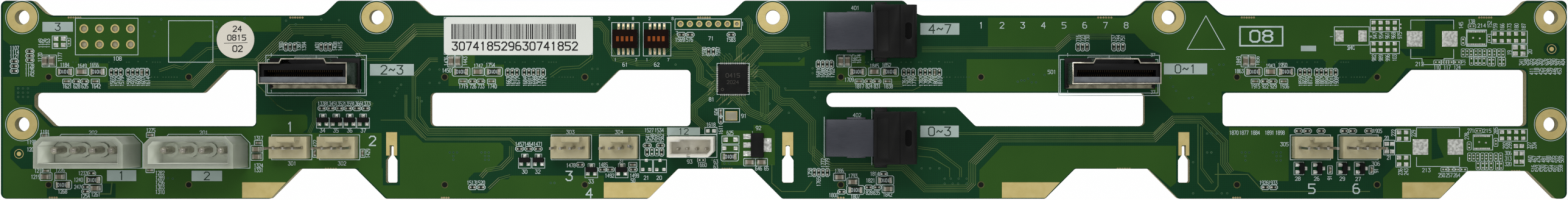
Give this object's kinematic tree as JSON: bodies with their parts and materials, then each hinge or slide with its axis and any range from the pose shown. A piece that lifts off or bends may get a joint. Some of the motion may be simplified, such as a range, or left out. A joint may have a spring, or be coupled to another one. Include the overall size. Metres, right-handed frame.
{
  "type": "drive backplane board",
  "caption": "Long narrow circuit board with stepped edges and air windows, drive receptacles on its back and power, fan and data connectors on its face.",
  "frame": {"origin": "centre of the board's footprint, on the plane of the drive connectors' mating faces", "axes": "+X along the board, towards the end with the wide solder pads; +Y towards the edge with the raised tabs; +Z out of the component side"},
  "size_m": [0.4236, 0.0536, 0.022],
  "materials": {
    "board_laminate": "green solder mask over glass laminate",
    "connector_black": "satin moulded",
    "power_grey": "translucent natural plastic, satin",
    "fan_beige": "satin moulded",
    "signal_ivory": "satin moulded",
    "tin": "bright tin plating",
    "shell_steel": "bright sheet",
    "socket_brown": "satin moulded",
    "socket_cover": "dark nickel, fine grain",
    "switch_blue": "satin moulded",
    "slider_white": "satin moulded",
    "amber_tape": "glossy amber film",
    "chip_black": "matt moulding compound",
    "resistor_black": "dark glazed ceramic",
    "capacitor_brown": "matt ceramic",
    "can_gold": "plated lid",
    "can_tray": "fired ceramic",
    "label_white": "coated paper"
  },
  "bodies": {
    "root": {"barcode_label": "label_white", "bulk_capacitor_bodies": "capacitor_brown", "bulk_capacitor_terminals": "tin", "cable_socket_cover_1": "socket_cover", "cable_socket_cover_2": "socket_cover", "cable_socket_housing_1": "socket_brown", "cable_socket_housing_2": "socket_brown", "circuit_board": "board_laminate", "controller_chip": "chip_black", "drive_connector_lower_1": "connector_black", "drive_connector_lower_2": "connector_black", "drive_connector_lower_3": "connector_black", "drive_connector_lower_4": "connector_black", "drive_connector_upper_1": "connector_black", "drive_connector_upper_2": "connector_black", "drive_connector_upper_3": "connector_black", "drive_connector_upper_4": "connector_black", "fan_header_housing_1": "fan_beige", "fan_header_housing_2": "fan_beige", "fan_header_housing_3": "fan_beige", "fan_header_housing_4": "fan_beige", "fan_header_housing_5": "fan_beige", "fan_header_housing_6": "fan_beige", "fan_header_pins_1": "tin", "fan_header_pins_2": "tin", "fan_header_pins_3": "tin", "fan_header_pins_4": "tin", "fan_header_pins_5": "tin", "fan_header_pins_6": "tin", "oscillator_lid": "can_gold", "oscillator_tray": "can_tray", "power_header_housing_1": "power_grey", "power_header_housing_2": "power_grey", "power_header_pins_1": "tin", "power_header_pins_2": "tin", "power_resistor_bodies": "resistor_black", "power_resistor_terminals": "tin", "regulator_body": "chip_black", "regulator_leads": "tin", "round_label": "label_white", "signal_header_housing": "signal_ivory", "signal_header_pins": "tin", "small_capacitors": "capacitor_brown", "small_resistors": "resistor_black", "switch_body_1": "switch_blue", "switch_body_2": "switch_blue", "switch_leads_1": "tin", "switch_leads_2": "tin", "switch_sliders_1": "slider_white", "switch_sliders_2": "slider_white", "switch_tape_1": "amber_tape", "switch_tape_2": "amber_tape", "tall_connector_block_1": "connector_black", "tall_connector_block_2": "connector_black", "tall_connector_shell_1": "shell_steel", "tall_connector_shell_2": "shell_steel", "transistor_bodies": "chip_black", "transistor_leads": "tin"}
  },
  "joints": []
}
